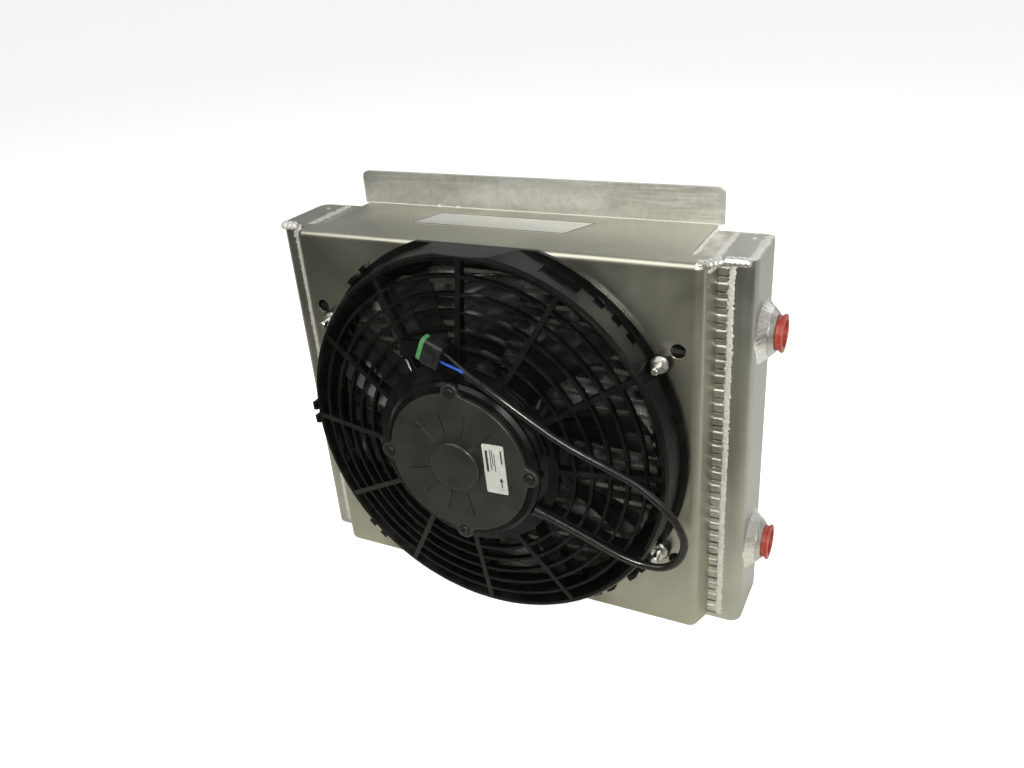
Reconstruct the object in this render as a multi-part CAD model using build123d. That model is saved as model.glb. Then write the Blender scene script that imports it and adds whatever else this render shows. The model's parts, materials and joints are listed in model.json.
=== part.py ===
from build123d import *
import math
import os

# Hydraulic oil cooler: a welded aluminium bar-and-plate core with two side tanks and a sheet shroud,
# and a 12-inch electric fan that pulls air through the core towards the front.
#
# Frame, in millimetres: +X towards the port side, +Y towards the air inlet at the back, +Z up.
# The origin is on the base, mid-width and mid-depth of the core.

os.makedirs("parts", exist_ok=True)

# ---------------------------------------------------------------- driving dimensions: the cooler
BODY_H = 336.0            # over the shroud's top and bottom sheets
CORE_W = 395.0            # between the faces that the tanks are welded to
CORE_D = 68.0             # front to back
SHEET_T = 2.0             # shroud sheet
SIDE_PLATE_T = 4.0        # core top and bottom plates, tank caps
SIDE_PLATE_W = 374.0      # the tank caps start where these plates end
OIL_LAYERS = 25
OIL_TUBE_H = 3.6
OIL_WALL_T = 0.8
OIL_SIDE_BAR_W = 5.0
END_BAR_W = 10.0          # closes an air layer at the tank
END_BAR_ROUND = 3.0
FIN_T = 0.3
FIN_PITCH = 12.0
TURBULATOR_T = 0.3
TURBULATOR_PITCH = 8.0
TANK_OUTER_X = 218.0
TANK_WALL_T = 3.0
TANK_CORNER_R = 10.0
PANEL_STANDOFF = 20.0     # core front to shroud front
PANEL_HALF_W = 183.5      # to the sharp corner of the shroud's side bends
SHROUD_FOOT_HALF_W = 190.0
SHROUD_SHEET_HALF_W = 169.0
SHROUD_BACK_Y = 46.0
SIDE_BEND_R = 8.0
EDGE_BEND_R = 5.0
FLANGE_W = 348.0
FLANGE_H = 30.0
FLANGE_T = 3.0
FLANGE_CORNER_R = 6.0
LABEL_T = 0.3

# ports: straight-thread bosses for a 3/4-inch tube size, on the right tank's side
PORT_Z = (70.0, 267.0)
PORT_BORE_R = 12.35
PORT_MOUTH_R = 13.0       # seal seat at the mouth, which the plug sits in
PORT_MOUTH_DEPTH = 5.5
BOSS_R = 19.5
BOSS_SPIGOT_R = 15.0
BOSS_LENGTH = 11.0
BOSS_CHAMFER = 4.0
PLUG_STEM_R = 12.9
PLUG_SHOULDER_R = 13.8
PLUG_RIM_R = 15.2
PLUG_HOLLOW_R = 10.8
PLUG_GAP = 0.3

# ---------------------------------------------------------------- driving dimensions: the fan
FAN_Z = 169.0             # axis height
FLANGE_R = 177.0          # base flange of the fan housing
FLANGE_FLAT = 168.0       # its top and bottom flats, from the axis
DUCT_R = 155.0
RIM_R = 166.0             # outer end of the guard's struts
RIM_DEPTH = 31.0          # from the panel to the housing's front rim
HUB_R = 84.0              # inner end of the struts
HUB_DEPTH = 48.0
GUARD_PITCH = 13.85
GUARD_RINGS = 5
RING_W = 2.6
RING_DEPTH = 5.5
STRUTS = 12
STRUT_W = 4.6
STRUT_DEPTH = 8.0
CHANNEL_STRUT = 4         # this strut, counted clockwise from the top, carries the cable
CHANNEL_W = 12.0
CHANNEL_GROOVE_W = 8.2
CHANNEL_RIB_H = 3.5
EAR_PAD_R = 8.5           # fan housing, round each fixing
LUG_H = 9.0               # clips round the housing's edge, from the panel
TALL_LUG_H = 24.0
COVER_R = 64.0
COVER_DEPTH = 61.0        # underside of the motor cover, from the panel
COVER_T = 4.0
COVER_BOSS_R = 22.5
COVER_BOSS_TOP = 70.5
SCREW_CIRCLE_R = 66.0
EAR_R = 8.0
MOUNT_X = 154.5           # fan mounting pattern, from the axis
MOUNT_Z = 87.3
SPARE_HOLE_X = 166.5
SPARE_HOLE_Z = 97.0
SPARE_HOLE_R = 6.0
BOLT_R = 3.0
BOLT_HEAD_R = 5.7         # across the hexagon's corners, halved
WASHER_R = 7.2
NUT_SEAT = 7.4            # face that each nut sits on, from the panel
BLADES = 10
BLADE_TIP_R = 150.0
IMPELLER_HUB_R = 66.0
HUB_WALL_T = 2.5
HUB_BOSS_R = 13.0
NUT_RECESS_R = 9.5
CAN_R = 57.0
CAN_WALL_T = 2.0
CAN_BACK = 20.0           # from the panel to the back of the motor
SHAFT_R = 4.0
SHAFT_NUT_R = 7.5
ARMATURE_R = 46.0
MAGNET_INNER_R = 47.0
MAGNETS = 4

# ---------------------------------------------------------------- driving dimensions: the lead
CABLE_R = 3.25
WIRE_R = 1.1
GROMMET_LENGTH = 12.0
GROMMET_R = (5.6, 4.2)    # at the motor, and where the lead comes out
CHANNEL_STOPS = [(84.0, 3.0), (102.0, 3.0), (124.0, 3.7), (145.0, 5.1)]   # radius, lift off the guard
# The rest of the lead's route, right, up and forward in the fan's frame: round a loop past the rim,
# and back across the guard to the connector.
CABLE_LOOP = [
    (141.0, -78.5, 38.3),
    (153.5, -81.5, 36.2),
    (165.5, -81.5, 35.2),
    (176.0, -75.0, 35.0),
    (183.0, -63.5, 35.4),
    (185.3, -50.0, 36.4),
    (181.0, -36.0, 38.0),
    (173.0, -23.0, 40.0),
    (162.2, -11.2, 42.0),
    (147.8, 1.3, 44.5),
    (133.3, 9.6, 47.0),
    (116.6, 18.4, 50.0),
    (90.0, 32.5, 54.0),
    (66.5, 49.0, 57.2),
    (45.0, 64.5, 59.4),
    (27.0, 75.5, 59.6),
    (13.0, 83.5, 58.6),
]
CONNECTOR_TURN = 157.0    # of its mating face, from the fan's right
CONNECTOR_CENTRE = (-14.3, 95.8, 57.2)
CONNECTOR_BODY = (16.0, 22.0, 13.0)
SEAL_ROUND = 5.0
SEAL_DEPTH = 4.0
SEAL_RIB_T = 0.7
POLE_OFFSET = 4.0         # each wire's socket, from the middle

# ---------------------------------------------------------------- derived places
PANEL_Y = -CORE_D / 2 - PANEL_STANDOFF
STACK_BOTTOM = SHEET_T + SIDE_PLATE_T
STACK_TOP = BODY_H - STACK_BOTTOM
AIR_LAYERS = OIL_LAYERS + 1
AIR_LAYER_H = (STACK_TOP - STACK_BOTTOM - OIL_LAYERS * OIL_TUBE_H) / AIR_LAYERS
LAYER_PITCH = AIR_LAYER_H + OIL_TUBE_H
FIN_W = CORE_W - 2 * END_BAR_W
RIM_SLOPE = (HUB_DEPTH - RIM_DEPTH) / (RIM_R - HUB_R)

# Fan frame: X right, Y up, Z forward from the panel, all measured from the fan's axis.
FAN_FRAME = Location(Plane(origin=(0, PANEL_Y, FAN_Z), x_dir=(1, 0, 0), z_dir=(0, -1, 0)))
BOTTOM_UP = (Align.CENTER, Align.CENTER, Align.MIN)


def save(name, shape):
    """Write one named sub-part."""
    shape.label = name
    export_step(shape, os.path.join("parts", name + ".step"))


def group(shapes):
    """Keep separate solids together in one node."""
    return Compound(children=[solid for shape in shapes for solid in shape.solids()])


def block(low, high):
    """A box between two opposite corners."""
    size = [b - a for a, b in zip(low, high)]
    centre = [(a + b) / 2 for a, b in zip(low, high)]
    return Pos(*centre) * Box(*size)


def disc(radius, low, high, x=0.0, y=0.0):
    """A cylinder along the local Z, between two heights."""
    return Pos(x, y, low) * Cylinder(radius, high - low, align=BOTTOM_UP)


def tube(outer, inner, low, high, x=0.0, y=0.0):
    """A round tube along the local Z."""
    return disc(outer, low, high, x, y) - disc(inner, low - 1, high + 1, x, y)


def turned(points):
    """Revolve a closed (radius, height) outline about the local Z."""
    outline = Plane.XZ * Polygon(*points, align=None)
    return revolve(outline, axis=Axis.Z)


def polar(radius, degrees):
    """A point on a circle, clockwise from the top."""
    angle = math.radians(degrees)
    return radius * math.sin(angle), radius * math.cos(angle)


def around(shape, degrees):
    """Turn a shape clockwise about the local Z."""
    return Rot(0, 0, -degrees) * shape


def sector(middle, half_angle):
    """A tall wedge between two directions, for cutting arcs out of rings."""
    reach = 250
    corners = [polar(reach, middle + share * half_angle) for share in (-1, 0, 1)]
    return extrude(Polygon((0, 0), *corners, align=None), 100, both=True)


def corrugated(width, height, pitch, thickness):
    """A zigzag strip's cross-section, centred, as a closed face."""
    steps = int(width // (pitch / 2))
    start = -steps * pitch / 4
    swing = (height - thickness) / 2
    line = [(start + i * pitch / 2, swing if i % 2 else -swing) for i in range(steps + 1)]
    upper = [(x, y + thickness / 2) for x, y in line]
    lower = [(x, y - thickness / 2) for x, y in reversed(line)]
    return Polygon(*upper, *lower, align=None)


# ---------------------------------------------------------------- core
def oil_layer_z(index):
    """Mid-height of one oil tube."""
    return STACK_BOTTOM + AIR_LAYER_H + OIL_TUBE_H / 2 + index * LAYER_PITCH


def air_layer_z(index):
    """Mid-height of one air layer."""
    return STACK_BOTTOM + AIR_LAYER_H / 2 + index * LAYER_PITCH


def oil_tubes():
    """Flat tubes, open to the tanks at both ends, with solid bars along their front and back."""
    passage_h = OIL_TUBE_H - 2 * OIL_WALL_T
    passage = Box(CORE_W + 2, CORE_D - 2 * OIL_SIDE_BAR_W, passage_h)
    one = Box(CORE_W, CORE_D, OIL_TUBE_H) - passage
    return group([Pos(0, 0, oil_layer_z(i)) * one for i in range(OIL_LAYERS)])


def turbulators():
    """A folded strip in each oil tube that stirs the oil."""
    height = OIL_TUBE_H - 2 * OIL_WALL_T - 0.1
    section = corrugated(CORE_D - 2 * OIL_SIDE_BAR_W - 2, height, TURBULATOR_PITCH, TURBULATOR_T)
    one = extrude(Plane.YZ * section, CORE_W / 2 - 2, both=True)
    return group([Pos(0, 0, oil_layer_z(i)) * one for i in range(OIL_LAYERS)])


def air_fins():
    """A folded fin strip between each pair of oil tubes."""
    section = corrugated(FIN_W - 1, AIR_LAYER_H - 0.1, FIN_PITCH, FIN_T)
    one = extrude(Plane.XZ * section, CORE_D / 2 - 0.5, both=True)
    return group([Pos(0, 0, air_layer_z(i)) * one for i in range(AIR_LAYERS)])


def end_bars(side):
    """The bars that close the air layers at one tank; their faces show as a ladder of ripples."""
    bar = Box(END_BAR_W, CORE_D, AIR_LAYER_H)
    bar = fillet(bar.edges().filter_by(Axis.X), END_BAR_ROUND)
    x = side * (CORE_W - END_BAR_W) / 2
    return group([Pos(x, 0, air_layer_z(i)) * bar for i in range(AIR_LAYERS)])


def side_plate(z):
    """The plate that closes the stack at the top or the bottom."""
    return Pos(0, 0, z) * Box(SIDE_PLATE_W, CORE_D, SIDE_PLATE_T)


# ---------------------------------------------------------------- tanks
def tank_outline(inset, inner_x, corner_r):
    """Plan view of a tank on the +X side: square towards the core, rounded outside."""
    width = TANK_OUTER_X - inset - inner_x
    depth = CORE_D - 2 * inset
    face = Pos(inner_x + width / 2, 0) * Rectangle(width, depth)
    outer = face.vertices().group_by(Axis.X)[-1]
    return fillet(outer, corner_r)


def tank_shell():
    """A channel folded from plate and welded to the end of the core."""
    height = STACK_TOP - STACK_BOTTOM
    outer = extrude(tank_outline(0, CORE_W / 2, TANK_CORNER_R), height)
    hollow = extrude(tank_outline(TANK_WALL_T, CORE_W / 2 - 1, TANK_CORNER_R - TANK_WALL_T), height)
    return Pos(0, 0, STACK_BOTTOM) * (outer - hollow)


def right_tank_shell():
    """The port side's tank, bored for the two bosses."""
    shell = tank_shell()
    for z in PORT_Z:
        hole = Pos(TANK_OUTER_X, 0, z) * Rot(0, 90, 0) * Cylinder(BOSS_SPIGOT_R, 20)
        shell -= hole
    return shell


def tank_cap(z):
    """The lid of a tank, which laps over the end of the core."""
    outline = tank_outline(0, SIDE_PLATE_W / 2, TANK_CORNER_R)
    lid = extrude(outline, SIDE_PLATE_T)
    return Pos(0, 0, z - SIDE_PLATE_T / 2) * lid


def baffle():
    """Splits the right tank, so that the oil crosses the core once each way."""
    outline = tank_outline(TANK_WALL_T + 0.05, CORE_W / 2, TANK_CORNER_R - TANK_WALL_T + 1)
    plate = extrude(outline, TANK_WALL_T)
    return Pos(0, 0, oil_layer_z(OIL_LAYERS // 2) - TANK_WALL_T / 2) * plate


def port_boss(z):
    """A threaded boss, drawn at its thread's minor diameter."""
    body = disc(BOSS_R, 0, BOSS_LENGTH)
    body = chamfer(body.edges().sort_by(Axis.Z)[-1], BOSS_CHAMFER)
    spigot = disc(BOSS_SPIGOT_R, -TANK_WALL_T, 1)
    bore = disc(PORT_BORE_R, -TANK_WALL_T - 1, BOSS_LENGTH + 1)
    mouth = disc(PORT_MOUTH_R, BOSS_LENGTH - PORT_MOUTH_DEPTH, BOSS_LENGTH + 1)
    return Pos(TANK_OUTER_X, 0, z) * Rot(0, 90, 0) * (body + spigot - bore - mouth)


def port_plug(z):
    """A hollow push-in transport plug."""
    face = BOSS_LENGTH + PLUG_GAP
    foot = BOSS_LENGTH - PORT_MOUTH_DEPTH + 0.3
    stem = disc(PLUG_STEM_R, foot, face + 1)
    stem = chamfer(stem.edges().sort_by(Axis.Z)[0], 1)
    shoulder = disc(PLUG_SHOULDER_R, face, face + 4)
    rim = disc(PLUG_RIM_R, face + 3.2, face + 5.4)
    rim = fillet(rim.edges().filter_by(GeomType.CIRCLE), 0.7)
    hollow = disc(PLUG_HOLLOW_R, foot + 1.5, face + 8)
    return Pos(TANK_OUTER_X, 0, z) * Rot(0, 90, 0) * (stem + shoulder + rim - hollow)


# ---------------------------------------------------------------- shroud and flange
def shroud_front(inset, foot_half_w, panel_half_w):
    """The closed form of the shroud's front box, rounded at its sides, top and bottom."""
    front = PANEL_Y + inset
    back = -CORE_D / 2
    corners = [(-foot_half_w, back), (-panel_half_w, front), (panel_half_w, front), (foot_half_w, back)]
    box = Pos(0, 0, inset) * extrude(Polygon(*corners, align=None), BODY_H - 2 * inset)
    bends = box.edges().filter_by(Axis.Z).group_by(Axis.Y)[0]
    box = fillet(bends, SIDE_BEND_R - inset)
    front_edges = box.edges().group_by(Axis.Y)[0].filter_by(Axis.X)
    return fillet(front_edges, EDGE_BEND_R - inset)


def fan_shroud():
    """One folded sheet: front panel, slanted sides, and top and bottom that run back past the core."""
    lean = SHEET_T * 1.06
    outer = shroud_front(0, SHROUD_FOOT_HALF_W, PANEL_HALF_W)
    front_y = -CORE_D / 2 - 1
    outer += block((-SHROUD_SHEET_HALF_W, front_y, 0), (SHROUD_SHEET_HALF_W, SHROUD_BACK_Y, BODY_H))
    inner = shroud_front(SHEET_T, SHROUD_FOOT_HALF_W - lean, PANEL_HALF_W - lean + 0.6)
    inner += block((-200, -CORE_D / 2, SHEET_T), (200, 60, BODY_H - SHEET_T))
    inner += block((-180, -CORE_D / 2 - 2, SHEET_T), (180, -CORE_D / 2 + 1, BODY_H - SHEET_T))
    sheet = outer - inner
    tools = [disc(DUCT_R, -5, 5)]
    for side_x in (-1, 1):
        for side_z in (-1, 1):
            tools.append(disc(BOLT_R + 0.2, -5, 5, side_x * MOUNT_X, side_z * MOUNT_Z))
            tools.append(disc(SPARE_HOLE_R, -5, 5, side_x * SPARE_HOLE_X, side_z * SPARE_HOLE_Z))
    for tool in tools:
        sheet -= FAN_FRAME * tool
    return sheet


def mount_flange():
    """The strip that stands on the back edge of the shroud's top sheet."""
    outline = Pos(0, BODY_H + FLANGE_H / 2) * Rectangle(FLANGE_W, FLANGE_H)
    outline = fillet(outline.vertices().group_by(Axis.Y)[-1], FLANGE_CORNER_R)
    plate = extrude(Plane.XZ * outline, FLANGE_T)
    return Pos(0, SHROUD_BACK_Y, 0) * plate


def top_label():
    """A plain slanted foil label on the top sheet."""
    z = BODY_H
    front, back = PANEL_Y + 44, PANEL_Y + 79
    corners = [(-91, front), (57, front), (73, back), (-78, back)]
    return Pos(0, 0, z) * extrude(Polygon(*corners, align=None), LABEL_T)


# ---------------------------------------------------------------- fan housing and guard
def rim_depth(radius):
    """Height of the guard's front surface above the panel."""
    return RIM_DEPTH + (RIM_R - radius) * RIM_SLOPE


def housing_lug(degrees, height):
    """A small hook on the edge of the base flange."""
    foot = block((-4, FLANGE_R - 8, 0), (4, FLANGE_R + 3, 4))
    tip = block((-4, FLANGE_R - 1, 0), (4, FLANGE_R + 3, height))
    return around(foot + tip, degrees)


def housing_pocket(degrees, width, low, high, depth=2.2):
    """A shallow recess in the housing's sloping front."""
    middle_r = 169.4
    tool = block((-width / 2, middle_r - depth, low), (width / 2, middle_r + 12, high))
    return around(tool, degrees)


def housing_ring():
    """The ring's filled form: base flange, sloping front and flared duct."""
    return turned([
        (DUCT_R, 0), (FLANGE_R, 0), (FLANGE_R, 4), (172.5, 4), (169.5, 28), (167.5, RIM_DEPTH),
        (RIM_R - 1.5, RIM_DEPTH), (RIM_R - 2.5, RIM_DEPTH - 2), (DUCT_R, 14),
    ])


def fan_housing():
    """The moulded ring, hollow behind, with its flats, four fixing ears and clips."""
    hollow = [(157.5, -1), (157.5, 13.4), (164.6, 26.5), (165.5, 26.5), (165.5, -1)]
    body = housing_ring()
    body &= block((-200, -FLANGE_FLAT, -1), (200, FLANGE_FLAT, 50))
    body -= turned(hollow)
    for degrees in (-44, -38, 128, 133, 142, 147):
        body += housing_lug(degrees, LUG_H)
    for degrees in (-93.5, -89, 223, 228):
        body += housing_lug(degrees, TALL_LUG_H)
    for side_x in (-1, 1):
        for side_y in (-1, 1):
            x, y = side_x * MOUNT_X, side_y * MOUNT_Z
            body += disc(EAR_PAD_R, 0, 6, x, y)
            body -= disc(EAR_PAD_R + 0.5, 6, 40, x, y)
            body -= disc(BOLT_R + 0.2, -1, 40, x, y)
    body -= housing_pocket(27.5, 34, 9, 21, depth=0.6)
    for degrees in (39, 45.2, 51, -50, -56, 219, 236):
        body -= housing_pocket(degrees, 9, 6, 14)
    return body


def strut(width, extra=0.0):
    """One radial bar of the guard, lying along the local +Y."""
    root = HUB_R - 5
    tip = RIM_R - 1.5
    side = [
        (root, HUB_DEPTH - STRUT_DEPTH), (RIM_R - 4.5, RIM_DEPTH - 5.5), (RIM_R - 2.5, RIM_DEPTH - 2),
        (tip, RIM_DEPTH), (tip, rim_depth(tip) + extra), (root, rim_depth(root) + extra),
    ]
    return extrude(Plane.YZ * Polygon(*side, align=None), width / 2, both=True)


def guard_ring(radius):
    """One thin ring between the struts."""
    top = rim_depth(radius) - 0.4
    outline = [
        (radius - RING_W / 2, top - RING_DEPTH), (radius + RING_W / 2, top - RING_DEPTH),
        (radius + RING_W / 2, top), (radius - RING_W / 2, top),
    ]
    return turned(outline)


def hub_ring():
    """The raised seat in the middle of the guard that the motor hangs from."""
    outline = [
        (60, HUB_DEPTH - 5), (HUB_R, HUB_DEPTH - 5), (HUB_R, HUB_DEPTH), (76, HUB_DEPTH + 1.5),
        (72, COVER_DEPTH - 6), (72, COVER_DEPTH - 3), (69, COVER_DEPTH), (60, COVER_DEPTH),
        (60, COVER_DEPTH - 3), (68.5, COVER_DEPTH - 3), (68.5, HUB_DEPTH - 1), (60, HUB_DEPTH - 1),
    ]
    seat = turned(outline)
    for i in range(4):
        x, y = polar(SCREW_CIRCLE_R, 90 * i)
        seat += disc(7.5, HUB_DEPTH - 2, COVER_DEPTH, x, y)
    seat -= disc(CAN_R + 0.5, 0, 100)
    for i in range(4):
        x, y = polar(SCREW_CIRCLE_R, 90 * i)
        seat -= disc(2.05, HUB_DEPTH + 1, 100, x, y)
    return seat


def cable_channel():
    """A wide strut with a rib along each side, between which the cable lies."""
    inner, outer = HUB_R - 12, RIM_R + 12
    side = [(inner, rim_depth(inner) - 0.5), (outer, rim_depth(outer) - 0.5), (outer, 90), (inner, 90)]
    groove = extrude(Plane.YZ * Polygon(*side, align=None), CHANNEL_GROOVE_W / 2, both=True)
    return strut(CHANNEL_W, extra=CHANNEL_RIB_H) - groove


def arc_rim():
    """A raised arc beside the motor cover."""
    return tube(80, 77.6, HUB_DEPTH, HUB_DEPTH + 5) & sector(46, 32)


def connector_bracket():
    """The hollow tab between two struts that the connector sits on."""
    return block((-52, 86, 44), (0, 99, 50.2)) - block((-50, 88, 40), (-2, 97, 47.6))


def fan_guard():
    """The moulded grille: rings, struts, the motor seat and the cable channel."""
    body = hub_ring()
    for i in range(1, GUARD_RINGS + 1):
        body += guard_ring(RIM_R - i * GUARD_PITCH)
    for i in range(STRUTS):
        bar = cable_channel() if i == CHANNEL_STRUT else strut(STRUT_W)
        body += around(bar, 360 / STRUTS * i)
    body -= disc(CAN_R + 0.5, 0, 100)
    body += arc_rim()
    body += connector_bracket()
    return body - cable_grommet() - housing_ring()


# ---------------------------------------------------------------- motor
def motor_can():
    """The motor's steel cup, open to the front."""
    cup = disc(CAN_R, CAN_BACK, COVER_DEPTH)
    cup = fillet(cup.edges().sort_by(Axis.Z)[0], 4)
    bore = disc(CAN_R - CAN_WALL_T, CAN_BACK + CAN_WALL_T, COVER_DEPTH + 1)
    bore = fillet(bore.edges().sort_by(Axis.Z)[0], 2)
    seat = disc(11, CAN_BACK, CAN_BACK + 8)
    return cup - bore + seat - disc(8, CAN_BACK + 1, CAN_BACK + 20) - disc(6, 0, 30)


def motor_cover():
    """The front plate: four eared corners, a middle boss and short radial grooves."""
    plate = disc(COVER_R, COVER_DEPTH, COVER_DEPTH + COVER_T)
    for i in range(4):
        x, y = polar(SCREW_CIRCLE_R, 90 * i)
        plate += disc(EAR_R, COVER_DEPTH, COVER_DEPTH + COVER_T, x, y)
    inner_corners = plate.edges().filter_by(Axis.Z)
    plate = fillet(inner_corners, 5)
    plate = fillet(plate.edges().group_by(Axis.Z)[-1], 1.2)
    boss = disc(COVER_BOSS_R, COVER_DEPTH, COVER_BOSS_TOP)
    boss = fillet(boss.edges().sort_by(Axis.Z)[-1], 2.5)
    cover = plate + boss
    top = COVER_DEPTH + COVER_T
    groove = block((-0.8, 27, top - 0.9), (0.8, 49, top + 1))
    for i in range(12):
        cover -= around(groove, 30 * i + 15)
    for i in range(4):
        x, y = polar(SCREW_CIRCLE_R, 90 * i)
        cover -= disc(2.2, 0, 100, x, y)
        cover -= disc(5.0, top - 1.5, top + 5, x, y)
    cover -= disc(8, COVER_DEPTH - 1, COVER_DEPTH + 7)
    cover -= disc(1.0, COVER_BOSS_TOP - 0.6, COVER_BOSS_TOP + 1)
    return cover


def cover_screws():
    """Four socket-drive screws in the ears of the cover."""
    seat = COVER_DEPTH + COVER_T - 1.5
    head = disc(4.2, seat, seat + 2.4)
    head = fillet(head.edges().sort_by(Axis.Z)[-1], 0.8)
    recess = Pos(0, 0, seat + 1.2) * extrude(RegularPolygon(1.9, 6), 3)
    one = head + disc(2.0, HUB_DEPTH + 2, seat) - recess
    return group([Pos(*polar(SCREW_CIRCLE_R, 90 * i), 0) * one for i in range(4)])


def motor_label():
    """A plain rating label, without print."""
    outline = RectangleRounded(19.5, 45.5, 1.2)
    return Pos(36, 3, COVER_DEPTH + COVER_T) * Rot(0, 0, 2) * extrude(outline, LABEL_T)


def motor_magnets():
    """Curved field magnets on the inside of the can."""
    ring = tube(CAN_R - CAN_WALL_T, MAGNET_INNER_R, 28, 52)
    return group([ring & sector(360 / MAGNETS * i + 45, 36) for i in range(MAGNETS)])


def armature_core():
    """The slotted iron stack that turns inside the magnets."""
    stack = disc(ARMATURE_R, 31, 50) - disc(SHAFT_R, 0, 100)
    slot = block((-2, 22, 0), (2, 42, 100)) + block((-1, 40, 0), (1, 50, 100))
    for i in range(12):
        stack -= around(slot, 30 * i)
    return stack


def armature_windings():
    """The copper wound through the slots, with its two end turns."""
    coil = tube(38, 14, 26, 31) + tube(38, 14, 50, 54)
    coil = fillet(coil.edges().filter_by(GeomType.CIRCLE).group_by(SortBy.RADIUS)[-1], 1.5)
    for i in range(12):
        coil += around(block((-1.7, 22.3, 30), (1.7, 37.5, 51)), 30 * i)
    return coil


def commutator():
    """The segmented copper drum that the brushes run on."""
    drum = tube(13, SHAFT_R, 54.2, 60)
    for i in range(12):
        drum -= around(block((-0.3, 12, 0), (0.3, 14, 100)), 30 * i)
    return drum


def brush_plate():
    """The moulded plate that carries the brushes."""
    plate = tube(CAN_R - CAN_WALL_T, 15, 55, 56.5)
    for i in range(4):
        holder = block((-4.4, 15.5, 56), (4.4, 30, 60)) - block((-3, 10, 56.5), (3, 40, 70))
        plate += around(holder, 90 * i + 45)
    return plate


def motor_brushes():
    """Four carbon brushes, just clear of the commutator."""
    one = block((-2.9, 13.1, 56.6), (2.9, 27, 59.8))
    return group([around(one, 90 * i + 45) for i in range(4)])


def bearing(low):
    """A plain sleeve bearing for the motor shaft."""
    return tube(8, SHAFT_R + 0.03, low, low + 6.9)


def motor_shaft():
    """The shaft, from the impeller's nut to the front bearing."""
    rod = disc(SHAFT_R, 4.2, COVER_DEPTH + 6.5)
    return chamfer(rod.edges().filter_by(GeomType.CIRCLE), 0.6)


# ---------------------------------------------------------------- impeller
def blade():
    """One twisted, forward-swept blade."""
    stations = [
        (IMPELLER_HUB_R - 2, 38, 42, 0, 17),
        (105, 46, 30, 9, 14),
        (BLADE_TIP_R + 4, 52, 19, 24, 12),
    ]
    sections = []
    for radius, chord, pitch, sweep, height in stations:
        outline = Polyline((-chord / 2, -0.6), (0, 2.0), (chord / 2, -0.6), (chord / 2, 0.6), (0, 4.2),
                           (-chord / 2, 0.6), close=True)
        face = make_face(outline)
        placed = Plane(origin=(sweep, radius, height), x_dir=(1, 0, 0), z_dir=(0, 1, 0))
        sections.append(placed * Rot(0, 0, pitch) * face)
    return loft(sections)


def impeller():
    """A cup that wraps round the motor, with swept blades."""
    cup = disc(IMPELLER_HUB_R, 4, 31) - disc(IMPELLER_HUB_R - HUB_WALL_T, 4 + HUB_WALL_T, 40)
    cup += disc(HUB_BOSS_R, 4, 18.5)
    cup -= disc(NUT_RECESS_R, 0, 9)
    cup -= disc(SHAFT_R, 0, 40)
    blades = disc(BLADE_TIP_R, 2, 34) - disc(IMPELLER_HUB_R - 1, 0, 40)
    wheel = cup
    for i in range(BLADES):
        wheel += around(blade(), 360 / BLADES * i) & blades
    return wheel


def impeller_nut():
    """The nut that holds the impeller on its shaft."""
    nut = Pos(0, 0, 5) * extrude(RegularPolygon(SHAFT_NUT_R, 6), 4)
    return nut - disc(SHAFT_R, -5, 10)


# ---------------------------------------------------------------- fan fasteners
def at_mounts(shape):
    """The same piece at each of the fan's four fixings."""
    places = [(x * MOUNT_X, y * MOUNT_Z) for x in (-1, 1) for y in (-1, 1)]
    return group([Pos(x, y, 0) * shape for x, y in places])


def fan_bolts():
    """Hexagon bolts from behind the panel."""
    head = Pos(0, 0, -SHEET_T - 4) * extrude(RegularPolygon(BOLT_HEAD_R, 6), 4)
    shank = disc(BOLT_R, -SHEET_T - 1, 21)
    return at_mounts(head + chamfer(shank.edges().sort_by(Axis.Z)[-1], 0.6))


def fan_washers():
    return at_mounts(tube(WASHER_R, BOLT_R + 0.2, 6, NUT_SEAT))


def fan_nuts():
    """Flanged hexagon nuts."""
    hexagon = Pos(0, 0, NUT_SEAT) * extrude(RegularPolygon(BOLT_HEAD_R + 0.1, 6), 5)
    flange = disc(WASHER_R - 0.6, NUT_SEAT, NUT_SEAT + 1.2)
    return at_mounts(hexagon + flange - disc(BOLT_R + 0.02, 0, 40))


# ---------------------------------------------------------------- motor lead
def on_channel(radius, lift):
    """A point above the cable channel, in the fan's frame."""
    x, y = polar(radius, 360 / STRUTS * CHANNEL_STRUT)
    return x, y, rim_depth(radius) + lift


def cable_route():
    """The sheathed lead's corners, from the motor to the connector."""
    return [on_channel(radius, lift) for radius, lift in CHANNEL_STOPS] + CABLE_LOOP


def bend_radii(points):
    """The largest arc that each corner's two runs allow."""
    radii = []
    for before, corner, after in zip(points, points[1:], points[2:]):
        run_in = Vector(*corner) - Vector(*before)
        run_out = Vector(*after) - Vector(*corner)
        turn = math.radians(run_in.get_angle(run_out))
        radii.append(0.45 * min(run_in.length, run_out.length) / math.tan(turn / 2))
    return radii


def swept_round(points, radius):
    """A round tube along straight runs joined by tangent arcs."""
    radii = bend_radii(points)
    path = FilletPolyline(*points, radius=radii)
    section = Plane(origin=path @ 0, z_dir=path % 0) * Circle(radius)
    solid = sweep(section, path=path)
    filled = math.pi * radius ** 2 * path.length
    print("length", round(path.length, 1), "smallest bend", round(min(radii), 1),
          "volume share", round(solid.volume / filled, 4))
    return solid


def motor_cable():
    return swept_round(cable_route(), CABLE_R)


def cable_grommet():
    """The rubber strain relief where the lead leaves the motor."""
    route = cable_route()
    start = Vector(*route[0])
    ahead = (Vector(*route[1]) - start).normalized()
    frame = Plane(origin=start - ahead * GROMMET_LENGTH, z_dir=ahead)
    return frame * Cone(*GROMMET_R, GROMMET_LENGTH, align=BOTTOM_UP)


def in_connector(shape):
    """Place a piece drawn along +X, the mating direction, at the connector."""
    return Pos(*CONNECTOR_CENTRE) * Rot(0, 0, CONNECTOR_TURN) * shape


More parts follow.
